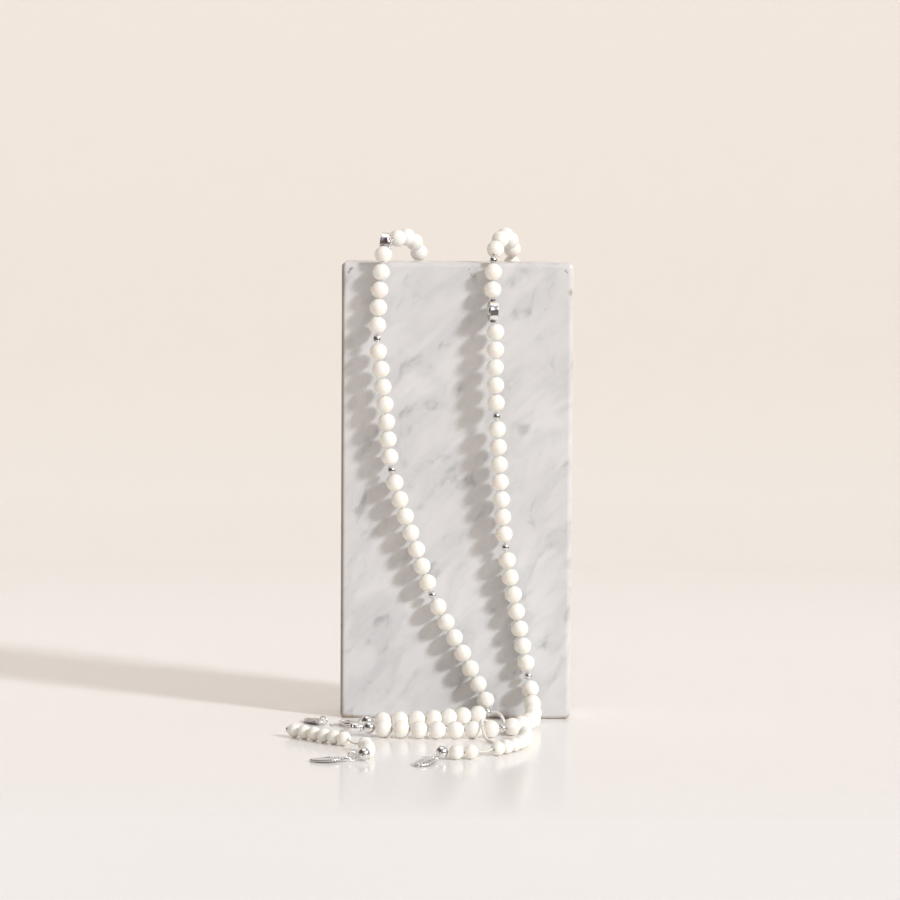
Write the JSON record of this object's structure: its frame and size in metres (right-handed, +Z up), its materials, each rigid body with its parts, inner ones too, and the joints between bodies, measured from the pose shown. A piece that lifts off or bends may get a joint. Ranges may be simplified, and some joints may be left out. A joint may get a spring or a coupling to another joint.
{
  "type": "prayer beads on a marble block",
  "caption": "Closed loop of round bone prayer beads with silver spacers, marker discs, counter strings and leaf charms, draped over an upright marble block.",
  "frame": {"origin": "centre of the block's underside, on the surface that the block stands on and the lower beads lie on", "axes": "+Z up; -Y is the block's front face, where the two strands hang and in front of which the lower end lies; +X to the right seen from the front"},
  "size_m": [0.1278, 0.1736, 0.2238],
  "materials": {
    "marble": "polished grey-veined white marble",
    "bone": "satin cream-white bone",
    "bone_small": "satin cream-white bone",
    "silver": "polished silver",
    "silver_ball": "polished silver, slightly darkened",
    "silver_leaf": "silver, beaded rim and textured face",
    "silver_chain": "fine silver chain",
    "thread": "twisted thread",
    "tie_cord": "twisted cord"
  },
  "bodies": {
    "root": {"marble_block": "marble", "beads_left_1": "bone", "silver_ball_left_1": "silver_ball", "beads_left_2": "bone", "silver_ball_left_2": "silver_ball", "beads_left_3": "bone", "silver_ball_left_3": "silver_ball", "beads_left_4": "bone", "silver_ball_left_4": "silver_ball", "beads_left_5": "bone", "end_ball_left": "silver", "beads_right_1": "bone", "silver_ball_right_1": "silver_ball", "beads_right_2": "bone", "silver_ball_right_2": "silver_ball", "beads_right_3": "bone", "silver_ball_right_3": "silver_ball", "beads_right_4": "bone", "silver_ball_right_4": "silver_ball", "beads_right_5": "bone", "end_ball_right": "silver", "beads_back_1": "bone", "silver_ball_back_1": "silver_ball", "beads_back_2": "bone", "silver_ball_back_2": "silver_ball", "beads_back_3": "bone", "silver_ball_back_3": "silver_ball", "beads_back_4": "bone", "silver_ball_back_4": "silver_ball", "beads_back_5": "bone", "silver_ball_back_5": "silver_ball", "beads_back_6": "bone", "coin_right": "silver", "coin_left": "silver", "end_barrel": "silver", "end_thread": "thread", "tail_plain_ring": "silver", "tail_plain_leaf": "silver_leaf", "tail_chain": "silver_chain", "tail_textured_ring": "silver", "tail_textured_leaf": "silver_leaf", "counter_left_beads_1": "bone_small", "counter_left_beads_2": "bone_small", "counter_left_thread": "thread", "counter_left_ball": "silver", "counter_left_ring": "silver", "counter_left_leaf": "silver_leaf", "counter_right_beads_1": "bone_small", "counter_right_beads_2": "bone_small", "counter_right_thread": "thread", "counter_right_ball": "silver", "counter_right_ring": "silver", "counter_right_leaf": "silver_leaf", "counter_left_cap": "silver", "tie_cord": "tie_cord"}
  },
  "joints": []
}
